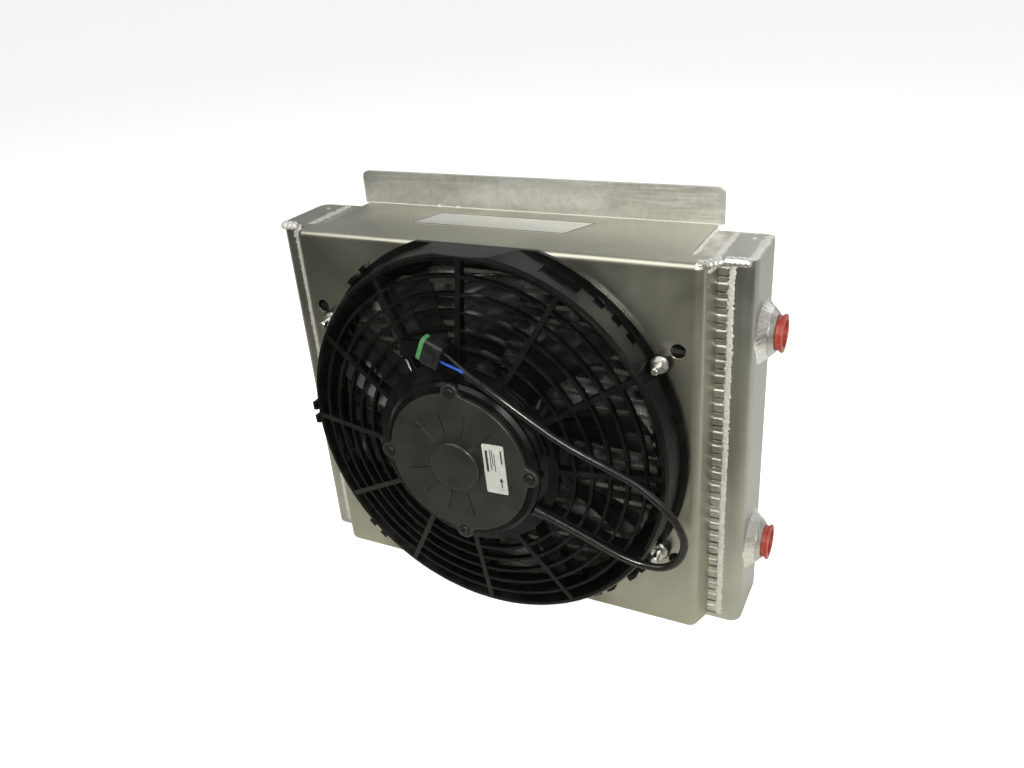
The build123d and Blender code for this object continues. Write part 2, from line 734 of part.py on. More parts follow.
def connector_body():
    """A two-way sealed plug housing with its latch and grip ribs."""
    length, width, height = CONNECTOR_BODY
    shell = fillet(Box(*CONNECTOR_BODY).edges().filter_by(Axis.X), 3)
    latch = Pos(1, 0, height / 2 + 0.8) * Box(10, 9, 2.6)
    shell += fillet(latch.edges().filter_by(Axis.Z), 1)
    for y in (-width / 2, width / 2):
        shell += Pos(-2, y, 0) * Box(7, 1.4, 6)
    for y in (-POLE_OFFSET, POLE_OFFSET):
        shell -= Pos(-length / 2, y, 0) * Rot(0, 90, 0) * Cylinder(WIRE_R + 0.9, 6)
    return in_connector(shell)


def connector_seal():
    """The green ribbed seal round the connector's mating face."""
    length, width, height = CONNECTOR_BODY
    middle = Pos((length + SEAL_DEPTH) / 2, 0, 0)
    base = middle * Box(SEAL_DEPTH, width - 2 * SEAL_RIB_T, height - 2 * SEAL_RIB_T)
    base = fillet(base.edges().filter_by(Axis.X), SEAL_ROUND - SEAL_RIB_T)
    for share in (-1, 0, 1):
        rib = middle * Pos(share * SEAL_DEPTH / 3, 0, 0) * Box(SEAL_RIB_T, width, height)
        base += fillet(rib.edges().filter_by(Axis.X), SEAL_ROUND)
    base -= middle * Box(SEAL_DEPTH + 2, width - 9, height - 8)
    return in_connector(base)


def lead_wires():
    """The two cores between the end of the sheath and the connector."""
    end = Vector(*CABLE_LOOP[-1])
    ahead = (end - Vector(*CABLE_LOOP[-2])).normalized()
    across = ahead.cross(Vector(0, 0, 1)).normalized()
    wires = []
    for side in (-1, 1):
        socket = in_connector(Pos(-CONNECTOR_BODY[0] / 2, -POLE_OFFSET * side, 0)).position
        out = in_connector(Pos(-CONNECTOR_BODY[0] / 2 - 4, -POLE_OFFSET * side, 0)).position
        start = end + across * (side * WIRE_R * 1.2)
        wires.append((start, start + ahead * 4, out, socket))
    return wires


def wire(points):
    return swept_round([tuple(p) for p in points], WIRE_R)


# ---------------------------------------------------------------- write the sub-parts
def write_cooler():
    save("oil_tubes", oil_tubes())
    save("oil_turbulators", turbulators())
    save("air_fins", air_fins())
    save("core_end_bars_left", end_bars(-1))
    save("core_end_bars_right", end_bars(1))
    top_z = BODY_H - SHEET_T - SIDE_PLATE_T / 2
    bottom_z = SHEET_T + SIDE_PLATE_T / 2
    save("core_top_plate", side_plate(top_z))
    save("core_bottom_plate", side_plate(bottom_z))
    save("right_tank_shell", right_tank_shell())
    save("left_tank_shell", mirror(tank_shell(), about=Plane.YZ))
    save("right_tank_top_cap", tank_cap(top_z))
    save("right_tank_bottom_cap", tank_cap(bottom_z))
    save("left_tank_top_cap", mirror(tank_cap(top_z), about=Plane.YZ))
    save("left_tank_bottom_cap", mirror(tank_cap(bottom_z), about=Plane.YZ))
    save("tank_baffle", baffle())
    for name, z in zip(("lower", "upper"), PORT_Z):
        save("port_boss_" + name, port_boss(z))
        save("port_plug_" + name, port_plug(z))
    save("fan_shroud", fan_shroud())
    save("mount_flange", mount_flange())
    save("top_label", top_label())


def write_fan():
    pieces = {
        "fan_housing": fan_housing,
        "fan_guard": fan_guard,
        "motor_can": motor_can,
        "motor_cover": motor_cover,
        "cover_screws": cover_screws,
        "motor_label": motor_label,
        "motor_magnets": motor_magnets,
        "armature_core": armature_core,
        "armature_windings": armature_windings,
        "commutator": commutator,
        "brush_plate": brush_plate,
        "motor_brushes": motor_brushes,
        "motor_shaft": motor_shaft,
        "impeller": impeller,
        "impeller_nut": impeller_nut,
        "fan_bolts": fan_bolts,
        "fan_washers": fan_washers,
        "fan_nuts": fan_nuts,
        "motor_cable": motor_cable,
        "cable_grommet": cable_grommet,
        "connector_body": connector_body,
        "connector_seal": connector_seal,
    }
    for name, make in pieces.items():
        save(name, FAN_FRAME * make())
    save("rear_bearing", FAN_FRAME * bearing(CAN_BACK + 1.1))
    save("front_bearing", FAN_FRAME * bearing(COVER_DEPTH))
    blue, black = lead_wires()
    save("blue_wire", FAN_FRAME * wire(blue))
    save("black_wire", FAN_FRAME * wire(black))


write_cooler()
write_fan()
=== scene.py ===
"""Finishes, welds, fine fins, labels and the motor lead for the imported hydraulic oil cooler."""
import json
import math

import bpy
from mathutils import Euler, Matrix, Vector, noise


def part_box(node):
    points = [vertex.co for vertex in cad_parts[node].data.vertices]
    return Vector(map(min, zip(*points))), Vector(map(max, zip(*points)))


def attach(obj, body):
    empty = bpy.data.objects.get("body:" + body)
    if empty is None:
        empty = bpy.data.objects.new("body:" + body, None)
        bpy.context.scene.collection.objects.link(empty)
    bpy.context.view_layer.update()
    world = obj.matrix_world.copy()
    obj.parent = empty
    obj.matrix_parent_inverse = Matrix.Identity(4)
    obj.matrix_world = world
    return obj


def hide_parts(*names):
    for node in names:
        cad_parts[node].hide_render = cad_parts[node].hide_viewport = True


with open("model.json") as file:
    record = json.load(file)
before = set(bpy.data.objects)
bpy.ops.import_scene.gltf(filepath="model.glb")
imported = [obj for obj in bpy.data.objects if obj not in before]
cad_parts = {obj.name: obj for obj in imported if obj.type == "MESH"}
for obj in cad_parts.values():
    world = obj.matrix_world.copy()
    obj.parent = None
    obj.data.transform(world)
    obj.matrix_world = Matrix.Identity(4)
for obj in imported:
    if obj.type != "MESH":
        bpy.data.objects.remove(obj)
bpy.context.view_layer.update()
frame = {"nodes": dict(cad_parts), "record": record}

MM = 0.001
ROOT = "cooler"
WARM = (1.0, 0.985, 0.94)

# ---------------------------------------------------------------- sizes, in millimetres
PANEL_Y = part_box("fan_shroud")[0].y / MM
FAN_Z = 169.0
TOP_SHEET_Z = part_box("fan_shroud")[1].z / MM
TANK_TOP_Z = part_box("right_tank_top_cap")[1].z / MM
TANK_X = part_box("right_tank_top_cap")[1].x / MM
CORE_FRONT_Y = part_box("oil_tubes")[0].y / MM
CORE_BACK_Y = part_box("oil_tubes")[1].y / MM
SHELL_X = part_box("right_tank_shell")[0].x / MM
CAP_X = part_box("right_tank_top_cap")[0].x / MM
SHEET_X = 169.0
PORT_Z = (70.0, 267.0)
BOSS_R = 19.5
PORT_WELD_R = 28.0
PORT_WELD_H = 7.0

# Flat, wavy strips of cleaned weld stand this proud, and their ripples are this far apart.
SEAM_H = 0.65
SEAM_PITCH = 2.6
# Every weld starts this far under the surface that it lies on.
WELD_SINK = 0.25

AIR_LAYERS = 26
LAYER_PITCH = 12.6
FIN_PITCH = 3.4
FIN_ROWS = 5
FIN_ROW_GAP = 0.3

CABLE_R = 3.25
# The lead's route in the fan's frame, in metres: right, up and forward from the fan's axis.
CABLE_ROUTE = [
    (0.0727, -0.0420, 0.0510),
    (0.0883, -0.0510, 0.0473),
    (0.1074, -0.0620, 0.0434),
    (0.1256, -0.0725, 0.0405),
    (0.1410, -0.0785, 0.0383),
    (0.1535, -0.0815, 0.0362),
    (0.1655, -0.0815, 0.0352),
    (0.1760, -0.0750, 0.0350),
    (0.1830, -0.0635, 0.0354),
    (0.1853, -0.0500, 0.0364),
    (0.1810, -0.0360, 0.0380),
    (0.1730, -0.0230, 0.0400),
    (0.1622, -0.0112, 0.0420),
    (0.1478, 0.0013, 0.0445),
    (0.1333, 0.0096, 0.0470),
    (0.1166, 0.0184, 0.0500),
    (0.0900, 0.0325, 0.0540),
    (0.0665, 0.0490, 0.0572),
    (0.0450, 0.0645, 0.0594),
    (0.0270, 0.0755, 0.0596),
    (0.0130, 0.0835, 0.0586),
]


def fan_point(right, up, forward):
    """World place, in metres, of a point in the fan's frame given in metres."""
    return Vector((right, PANEL_Y * MM - forward, FAN_Z * MM + up))


# ---------------------------------------------------------------- camera, light and floor
def make_camera():
    camera = bpy.data.objects.new("camera", bpy.data.cameras.new("camera"))
    camera.location = (0.3430, -0.6423, 0.5499)
    camera.rotation_euler = Euler([math.radians(a) for a in (63.418, 4.139, 26.524)])
    camera.data.lens = 31.03
    camera.data.sensor_width = 36.0
    camera.data.clip_start = 0.01
    bpy.context.scene.collection.objects.link(camera)
    bpy.context.scene.camera = camera


def soft_light(name, place, target, size, power, tint):
    """A square softbox that faces a target."""
    lamp = bpy.data.lights.new(name, "AREA")
    lamp.size = size
    lamp.energy = power
    lamp.color = tint
    box = bpy.data.objects.new(name, lamp)
    box.location = place
    box.rotation_euler = (Vector(target) - Vector(place)).to_track_quat("-Z", "Y").to_euler()
    bpy.context.scene.collection.objects.link(box)


def stage_card(name, corners, material, gloss_only=False):
    """A rectangle that isn't part of the object: floor, or a card that only reflections see."""
    mesh = bpy.data.meshes.new(name)
    mesh.from_pydata(corners, [], [(0, 1, 2, 3)])
    mesh.materials.append(material)
    card = bpy.data.objects.new(name, mesh)
    bpy.context.scene.collection.objects.link(card)
    if gloss_only:
        card.visible_camera = False
        card.visible_diffuse = False
        card.visible_shadow = False


def level_corners(low, high, height):
    """The corners of a level rectangle, anticlockwise from its low corner."""
    plan = [low, (high[0], low[1]), high, (low[0], high[1])]
    return [(x, y, height) for x, y in plan]


def make_world():
    """White behind the object; for light, a dim room that brightens overhead and behind."""
    world = bpy.data.worlds.new("studio")
    world.use_nodes = True
    nodes, links = world.node_tree.nodes, world.node_tree.links
    direction = nodes.new("ShaderNodeTexCoord").outputs["Generated"]
    facing = nodes.new("ShaderNodeVectorMath")
    facing.operation = "DOT_PRODUCT"
    facing.inputs[1].default_value = (0.35, 0.55, 0.75)
    links.new(direction, facing.inputs[0])
    sky = nodes.new("ShaderNodeValToRGB")
    sky.color_ramp.elements[0].position = 0.15
    sky.color_ramp.elements[0].color = (0.15, 0.15, 0.14, 1.0)
    sky.color_ramp.elements[1].position = 0.50
    sky.color_ramp.elements[1].color = (0.46, 0.46, 0.44, 1.0)
    links.new(facing.outputs["Value"], sky.inputs["Fac"])
    seen = nodes.new("ShaderNodeMix")
    seen.data_type = "RGBA"
    first, second = [i for i in seen.inputs if i.type == "RGBA"]
    links.new(nodes.new("ShaderNodeLightPath").outputs["Is Camera Ray"], seen.inputs["Factor"])
    links.new(sky.outputs["Color"], first)
    second.default_value = (1.0, 1.0, 1.0, 1.0)
    shown = [o for o in seen.outputs if o.type == "RGBA"][0]
    links.new(shown, nodes["Background"].inputs["Color"])
    bpy.context.scene.world = world


def make_floor():
    """A white floor, and over it a card that only reflections see, with painted light close to the cooler
    and painted shade further off.
    """
    floor = Finish("pale_floor", {"Base Color": (0.86, 0.86, 0.85, 1.0), "Roughness": 0.85})
    seen = floor.tree.nodes.new("ShaderNodeLightPath").outputs["Is Camera Ray"]
    floor.shader.inputs["Emission Color"].default_value = (1.0, 1.0, 1.0, 1.0)
    floor.join(floor.spread(seen, 0, 1, 0, 0.6), floor.shader.inputs["Emission Strength"])
    stage_card("floor", level_corners((-40, -40), (40, 40), 0.0), floor.material)
    dim = Finish("dim_floor", {"Roughness": 0.9})
    reach = dim.tree.nodes.new("ShaderNodeVectorMath")
    reach.operation = "LENGTH"
    dim.join(dim.scaled_place(1000, (3.5, 1, 1)), reach.inputs[0])
    near = dim.spread(reach.outputs["Value"], 0.07, 0.34)
    far = dim.spread(reach.outputs["Value"], 0.34, 1.2)
    # Painted light: pale near the cooler, fading to painted shade further off; only glossy reflections see
    # these colours.
    middle = dim.colours(near, (0.72, 0.71, 0.64), (0.14, 0.135, 0.11))
    dim.colour_by(far, middle, (0.035, 0.035, 0.03))
    stage_card("dim_floor", level_corners((-2.5, -2.5), (2.5, 0.02), 0.004), dim.material, gloss_only=True)


def make_studio():
    """White surroundings, three soft lamps and a small lamp in front."""
    bpy.context.scene.view_settings.view_transform = "Standard"
    make_world()
    make_floor()
    soft_light("key", (-0.7, -1.3, 1.9), (0, 0, 0.15), 1.9, 30, WARM)
    soft_light("fill", (1.6, -1.1, 1.0), (0, 0, 0.15), 1.0, 9, WARM)
    soft_light("back", (0.5, 1.4, 1.5), (0, 0, 0.2), 1.8, 9, (1.0, 1.0, 1.0))
    soft_light("front", (0.44, -0.85, 0.70), (0, 0, 0.17), 0.12, 7, WARM)


# ---------------------------------------------------------------- materials
class Finish:
    """A material being made: a shader, and the procedural detail that drives it."""

    def __init__(self, name, values):
        self.material = bpy.data.materials.new(name)
        self.material.use_nodes = True
        self.tree = self.material.node_tree
        self.shader = self.tree.nodes["Principled BSDF"]
        self.place = self.tree.nodes.new("ShaderNodeTexCoord").outputs["Object"]
        self.last_normal = None
        for socket, value in values.items():
            self.shader.inputs[socket].default_value = value

    def node(self, kind, **inputs):
        made = self.tree.nodes.new(kind)
        for socket, value in inputs.items():
            made.inputs[socket].default_value = value
        return made

    def join(self, output, target):
        self.tree.links.new(output, target)

    def scaled_place(self, size, stretch):
        mapping = self.node("ShaderNodeMapping", Scale=[1 / (size * MM * s) for s in stretch])
        self.join(self.place, mapping.inputs["Vector"])
        return mapping.outputs["Vector"]

    def noise(self, size, detail=3.0, stretch=(1, 1, 1), warp=0.0):
        """Soft blotches about size millimetres across, drawn out along each axis by its stretch."""
        texture = self.node("ShaderNodeTexNoise", Scale=1.0, Detail=detail, Distortion=warp)
        self.join(self.scaled_place(size, stretch), texture.inputs["Vector"])
        return texture.outputs["Fac"]

    def spread(self, value, low, high, out_low=0.0, out_high=1.0):
        """The value's span from low to high, stretched to a new span and clamped."""
        limits = {"From Min": low, "From Max": high, "To Min": out_low, "To Max": out_high}
        span = self.tree.nodes.new("ShaderNodeMapRange")
        for socket, number in limits.items():
            span.inputs[socket].default_value = number
        self.join(value, span.inputs["Value"])
        return span.outputs["Result"]

    def colours(self, factor, first, second):
        """A colour between two others, or other mixes."""
        mix = self.tree.nodes.new("ShaderNodeMix")
        mix.data_type = "RGBA"
        self.join(factor, mix.inputs["Factor"])
        for socket, colour in (("A", first), ("B", second)):
            target = [i for i in mix.inputs if i.name == socket and i.type == "RGBA"][0]
            if isinstance(colour, bpy.types.NodeSocket):
                self.join(colour, target)
            else:
                target.default_value = (*colour, 1.0)
        return [o for o in mix.outputs if o.type == "RGBA"][0]

    def colour_by(self, factor, first, second):
        self.join(self.colours(factor, first, second), self.shader.inputs["Base Color"])

    def rough_by(self, factor, low, high, smooth, rough):
        self.join(self.spread(factor, low, high, smooth, rough), self.shader.inputs["Roughness"])

    def soft_edges(self, radius):
        """Rounds sharp edges in the shading, by a radius in millimetres."""
        bevel = self.node("ShaderNodeBevel", Radius=radius * MM)
        bevel.samples = 4
        self._normal(bevel.outputs["Normal"])

    def relief(self, height, depth, strength=1.0):
        """Bumps up to depth millimetres high."""
        bump = self.node("ShaderNodeBump", Strength=strength, Distance=depth * MM)
        self.join(height, bump.inputs["Height"])
        if self.last_normal:
            self.join(self.last_normal, bump.inputs["Normal"])
        self._normal(bump.outputs["Normal"])

    def _normal(self, output):
        self.last_normal = output
        self.join(output, self.shader.inputs["Normal"])


def metal(name, colour, roughness):
    """A bare metal, to add detail to."""
    return Finish(name, {"Metallic": 1.0, "Base Color": (*colour, 1.0), "Roughness": roughness})


def plastic(name, colour, roughness, gloss=0.5):
    """A plastic, paint or paper, to add detail to."""
    values = {"Base Color": (*colour, 1.0), "Roughness": roughness, "Specular IOR Level": gloss}
    return Finish(name, values)


def sheet_aluminium(name, dark, light, stretch=(1, 1, 1)):
    """Rolled sheet: faint grain along the rolling direction, hand smudges and a few rubs."""
    finish = metal(name, light, 0.36)
    smudge = finish.noise(70, detail=4, warp=0.6)
    grain = finish.noise(0.7, detail=2, stretch=stretch)
    finish.colour_by(finish.spread(smudge, 0.35, 0.7), dark, light)
    finish.rough_by(smudge, 0.3, 0.7, 0.30, 0.42)
    finish.soft_edges(0.8)
    finish.relief(grain, 0.012, 0.35)
    finish.relief(finish.noise(45, detail=2), 0.25, 0.12)
    return finish.material


def flange_aluminium():
    """Mill-finish strip: mottled, with long scuffs and scratches."""
    finish = metal("flange_aluminium", (0.60, 0.60, 0.58), 0.4)
    mottle = finish.noise(9, detail=6, warp=1.2)
    scratch = finish.noise(1.4, detail=2, stretch=(26, 1, 1))
    finish.colour_by(finish.spread(mottle, 0.3, 0.7), (0.60, 0.60, 0.56), (0.76, 0.76, 0.72))
    finish.rough_by(scratch, 0.35, 0.7, 0.34, 0.52)
    finish.soft_edges(0.4)
    finish.relief(mottle, 0.12, 0.25)
    finish.relief(scratch, 0.03, 0.4)
    return finish.material


def brazed_aluminium():
    """The furnace-brazed core: dull and granular."""
    finish = metal("core_aluminium", (0.48, 0.47, 0.43), 0.5)
    grain = finish.noise(1.1, detail=5)
    patch = finish.noise(14, detail=4)
    finish.colour_by(finish.spread(patch, 0.3, 0.7), (0.36, 0.35, 0.31), (0.62, 0.61, 0.56))
    finish.rough_by(grain, 0.3, 0.7, 0.26, 0.5)
    finish.soft_edges(0.5)
    finish.relief(grain, 0.3, 0.7)
    return finish.material


def fin_aluminium():
    """Thin fins with painted light: bright patches are painted reflections and the dark between them is
    painted shade.
    """
    finish = Finish("fin_aluminium", {"Metallic": 0.35, "Roughness": 0.34})
    patch = finish.noise(26, detail=4)
    # Painted light: the pale colour stands in for light caught on the fins, the near-black colour for shade
    # between them.
    finish.colour_by(finish.spread(patch, 0.50, 0.74), (0.07, 0.07, 0.07), (0.80, 0.80, 0.77))
    finish.rough_by(patch, 0.3, 0.7, 0.26, 0.42)
    return finish.material


def weld_aluminium():
    """Bright weld metal with a frosted skin."""
    finish = metal("weld_aluminium", (0.72, 0.72, 0.69), 0.35)
    frost = finish.noise(2.6, detail=5)
    finish.colour_by(finish.spread(frost, 0.3, 0.7), (0.66, 0.66, 0.63), (0.86, 0.86, 0.83))
    finish.rough_by(frost, 0.3, 0.7, 0.24, 0.42)
    finish.relief(frost, 0.08, 0.35)
    return finish.material


def heat_band_aluminium():
    """The pale, matt strip that cleaning leaves along a weld."""
    finish = Finish("heat_band_aluminium", {"Metallic": 0.55, "Roughness": 0.5})
    frost = finish.noise(2.4, detail=5)
    finish.colour_by(finish.spread(frost, 0.3, 0.7), (0.50, 0.50, 0.46), (0.66, 0.66, 0.62))
    finish.rough_by(frost, 0.3, 0.7, 0.44, 0.58)
    finish.relief(frost, 0.10, 0.35)
    return finish.material


def black_moulding():
    """Glass-filled plastic with a fine spark-eroded grain and a little dust."""
    finish = plastic("fan_plastic", (0.005, 0.005, 0.005), 0.25, 0.17)
    grain = finish.noise(0.5, detail=2)
    dust = finish.noise(26, detail=6, warp=0.8)
    finish.colour_by(finish.spread(dust, 0.45, 0.8), (0.003, 0.003, 0.003), (0.008, 0.008, 0.008))
    finish.rough_by(dust, 0.3, 0.75, 0.16, 0.34)
    finish.soft_edges(0.5)
    finish.relief(grain, 0.02, 0.35)
    return finish.material


def gloss_black():
    """The impeller's smooth nylon."""
    finish = plastic("impeller_plastic", (0.006, 0.006, 0.006), 0.14, 0.5)
    flow = finish.noise(38, detail=3, warp=1.0)
    finish.colour_by(finish.spread(flow, 0.3, 0.7), (0.004, 0.004, 0.004), (0.009, 0.009, 0.009))
    finish.rough_by(flow, 0.3, 0.7, 0.10, 0.22)
    finish.soft_edges(0.5)
    finish.relief(flow, 0.8, 0.3)
    return finish.material


def motor_coating():
    """Dark electro-coat on steel, with a slight orange peel."""
    finish = plastic("motor_paint", (0.015, 0.016, 0.014), 0.34, 0.4)
    finish.shader.inputs["Coat Weight"].default_value = 0.12
    finish.shader.inputs["Coat Roughness"].default_value = 0.2
    peel = finish.noise(2.0, detail=2)
    cloud = finish.noise(24, detail=4)
    finish.colour_by(finish.spread(cloud, 0.3, 0.7), (0.011, 0.012, 0.010), (0.020, 0.021, 0.018))
    finish.rough_by(cloud, 0.3, 0.7, 0.28, 0.42)
    finish.soft_edges(0.6)
    finish.relief(peel, 0.05, 0.3)
    return finish.material


def clouded_metal(name, dark, light, smooth, rough, edge=0.3):
    """Plated, ground or machined metal with faint clouding."""
    finish = metal(name, light, smooth)
    cloud = finish.noise(3.5, detail=4)
    finish.colour_by(finish.spread(cloud, 0.3, 0.7), dark, light)
    finish.rough_by(cloud, 0.3, 0.7, smooth, rough)
    finish.soft_edges(edge)
    return finish.material


def red_polythene():
    """Soft plug plastic, slightly translucent, scuffed on its rim."""
    finish = plastic("plug_red", (0.60, 0.07, 0.035), 0.36)
    finish.shader.inputs["Subsurface Weight"].default_value = 0.12
    finish.shader.inputs["Subsurface Radius"].default_value = (0.003, 0.001, 0.0006)
    scuff = finish.noise(5, detail=5, warp=1.0)
    finish.colour_by(finish.spread(scuff, 0.35, 0.75), (0.28, 0.028, 0.016), (0.40, 0.060, 0.036))
    finish.rough_by(scuff, 0.3, 0.7, 0.3, 0.46)
    finish.soft_edges(0.4)
    finish.relief(scuff, 0.06, 0.3)
    return finish.material


def rubber(name, dark, light, smooth, rough):
    """Soft sheath, seal or moulding with uneven wear."""
    finish = plastic(name, light, smooth, 0.45)
    wear = finish.noise(6, detail=5)
    finish.colour_by(finish.spread(wear, 0.3, 0.7), dark, light)
    finish.rough_by(wear, 0.3, 0.7, smooth, rough)
    finish.relief(finish.noise(0.8, detail=2), 0.015, 0.3)
    return finish.material


def foil():
    """Silver label stock with a faint brushed grain."""
    finish = metal("label_foil", (0.70, 0.70, 0.68), 0.42)
    brushed = finish.noise(0.9, detail=2, stretch=(30, 1, 1))
    finish.colour_by(finish.spread(brushed, 0.3, 0.7), (0.62, 0.62, 0.59), (0.76, 0.76, 0.73))
    finish.rough_by(brushed, 0.3, 0.7, 0.36, 0.5)
    return finish.material


def paper():
    """The motor label's matt stock."""
    finish = plastic("label_white", (0.74, 0.74, 0.71), 0.5, 0.4)
    fibre = finish.noise(4, detail=5)
    finish.colour_by(finish.spread(fibre, 0.3, 0.7), (0.34, 0.35, 0.32), (0.42, 0.43, 0.40))
    finish.rough_by(fibre, 0.3, 0.7, 0.42, 0.56)
    return finish.material


def ink():
    """Dull black print."""
    finish = plastic("label_ink", (0.02, 0.02, 0.02), 0.5, 0.4)
    finish.rough_by(finish.noise(2, detail=3), 0.3, 0.7, 0.45, 0.6)
    return finish.material


def inner_material(name, dark, light, metallic, rough):
    """For the motor's hidden pieces: winding wire, iron, carbon and the like."""
    finish = Finish(name, {"Metallic": metallic, "Roughness": rough})
    grain = finish.noise(1.2, detail=4)
    finish.colour_by(finish.spread(grain, 0.3, 0.7), dark, light)
    finish.rough_by(grain, 0.3, 0.7, rough - 0.08, rough + 0.08)
    finish.relief(grain, 0.06, 0.4)
    return finish.material


def make_materials():
    """Every finish of the object, by the name of the record's slot."""
    return {
        "core_aluminium": brazed_aluminium(),
        "fin_aluminium": fin_aluminium(),
        "tank_aluminium": sheet_aluminium(
            "tank_aluminium", (0.38, 0.385, 0.35), (0.48, 0.485, 0.44), (1, 1, 14)),
        "shroud_aluminium": sheet_aluminium(
            "shroud_aluminium", (0.37, 0.37, 0.315), (0.47, 0.47, 0.40), (14, 1, 1)),
        "boss_aluminium": clouded_metal(
            "boss_aluminium", (0.50, 0.50, 0.47), (0.66, 0.66, 0.63), 0.3, 0.45, 0.9),
        "flange_aluminium": flange_aluminium(),
        "weld": weld_aluminium(),
        "heat_band": heat_band_aluminium(),
        "fan_plastic": black_moulding(),
        "impeller_plastic": gloss_black(),
        "motor_paint": motor_coating(),
        "zinc_steel": clouded_metal("zinc_steel", (0.52, 0.52, 0.48), (0.78, 0.78, 0.76), 0.2, 0.36),
        "black_steel": clouded_metal("black_steel", (0.05, 0.05, 0.05), (0.10, 0.10, 0.10), 0.3, 0.45),
        "shaft_steel": clouded_metal("shaft_steel", (0.50, 0.50, 0.50), (0.66, 0.66, 0.66), 0.2, 0.3),
        "plug_red": red_polythene(),
        "cable_sheath": rubber("cable_sheath", (0.005, 0.005, 0.005), (0.010, 0.010, 0.010), 0.16, 0.28),
        "wire_blue": rubber("wire_blue", (0.012, 0.055, 0.36), (0.03, 0.12, 0.58), 0.28, 0.40),
        "wire_black": rubber("wire_black", (0.012, 0.012, 0.012), (0.022, 0.022, 0.022), 0.28, 0.40),
        "connector_plastic": rubber(
            "connector_plastic", (0.007, 0.007, 0.007), (0.014, 0.014, 0.014), 0.30, 0.42),
        "seal_green": rubber("seal_green", (0.05, 0.20, 0.07), (0.10, 0.32, 0.12), 0.42, 0.56),
        "label_foil": foil(),
        "label_white": paper(),
        "ink": ink(),
        "magnet_ferrite": inner_material(
            "magnet_ferrite", (0.06, 0.06, 0.065), (0.11, 0.11, 0.115), 0.2, 0.6),
        "rotor_iron": inner_material("rotor_iron", (0.16, 0.16, 0.17), (0.26, 0.26, 0.27), 1.0, 0.45),
        "copper": inner_material("copper", (0.55, 0.22, 0.10), (0.78, 0.38, 0.20), 1.0, 0.35),
        "brush_plate_plastic": inner_material(
            "brush_plate_plastic", (0.12, 0.09, 0.06), (0.20, 0.15, 0.10), 0.0, 0.55),
        "carbon": inner_material("carbon", (0.02, 0.02, 0.02), (0.04, 0.04, 0.04), 0.0, 0.6),
        "bearing_bronze": inner_material(
            "bearing_bronze", (0.42, 0.30, 0.16), (0.58, 0.44, 0.26), 1.0, 0.4),
    }


def paint_cad_nodes(materials):
    """Gives each CAD node the finish of its slot."""
    for part in frame["record"]["subparts"]:
        mesh = frame["nodes"][part["node"]].data
        mesh.materials.clear()
        mesh.materials.append(materials[part["material_slot"]])


# ---------------------------------------------------------------- mesh helpers
def mesh_piece(name, points, faces, materials, face_materials=None, smooth=True, body=ROOT):
    """A new piece from points in millimetres; it rides on a CAD body."""
    mesh = bpy.data.meshes.new(name)
    mesh.from_pydata([Vector(p) * MM for p in points], [], faces)
    for material in materials:
        mesh.materials.append(material)
    if face_materials:
        mesh.polygons.foreach_set("material_index", face_materials)
    mesh.polygons.foreach_set("use_smooth", [smooth] * len(faces))
    mesh.update()
    piece = bpy.data.objects.new(name, mesh)
    bpy.context.scene.collection.objects.link(piece)
    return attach(piece, body)


def lattice(rows, columns, closed_rows=False, closed_columns=False, first=0):
    """Quads over a grid of points, row by row."""
    faces = []
    for i in range(rows if closed_rows else rows - 1):
        for j in range(columns if closed_columns else columns - 1):
            a, b = i, (i + 1) % rows
            c, d = j, (j + 1) % columns
            faces.append((first + a * columns + c, first + b * columns + c,
                          first + b * columns + d, first + a * columns + d))
    return faces


def resampled(path, step):
    """Points along a line of corners, a step apart, with the ends kept."""
    path = [Vector(p) for p in path]
    points = []
    for start, end in zip(path, path[1:]):
        count = max(1, round((end - start).length / step))
        points += [start.lerp(end, k / count) for k in range(count)]
    return points + [path[-1]]


# ---------------------------------------------------------------- welds
def ripple(distance, pitch):
    """Overlapping puddles: a round top and a sharp valley every pitch."""
    return abs(math.sin(math.pi * distance / pitch)) ** 0.5


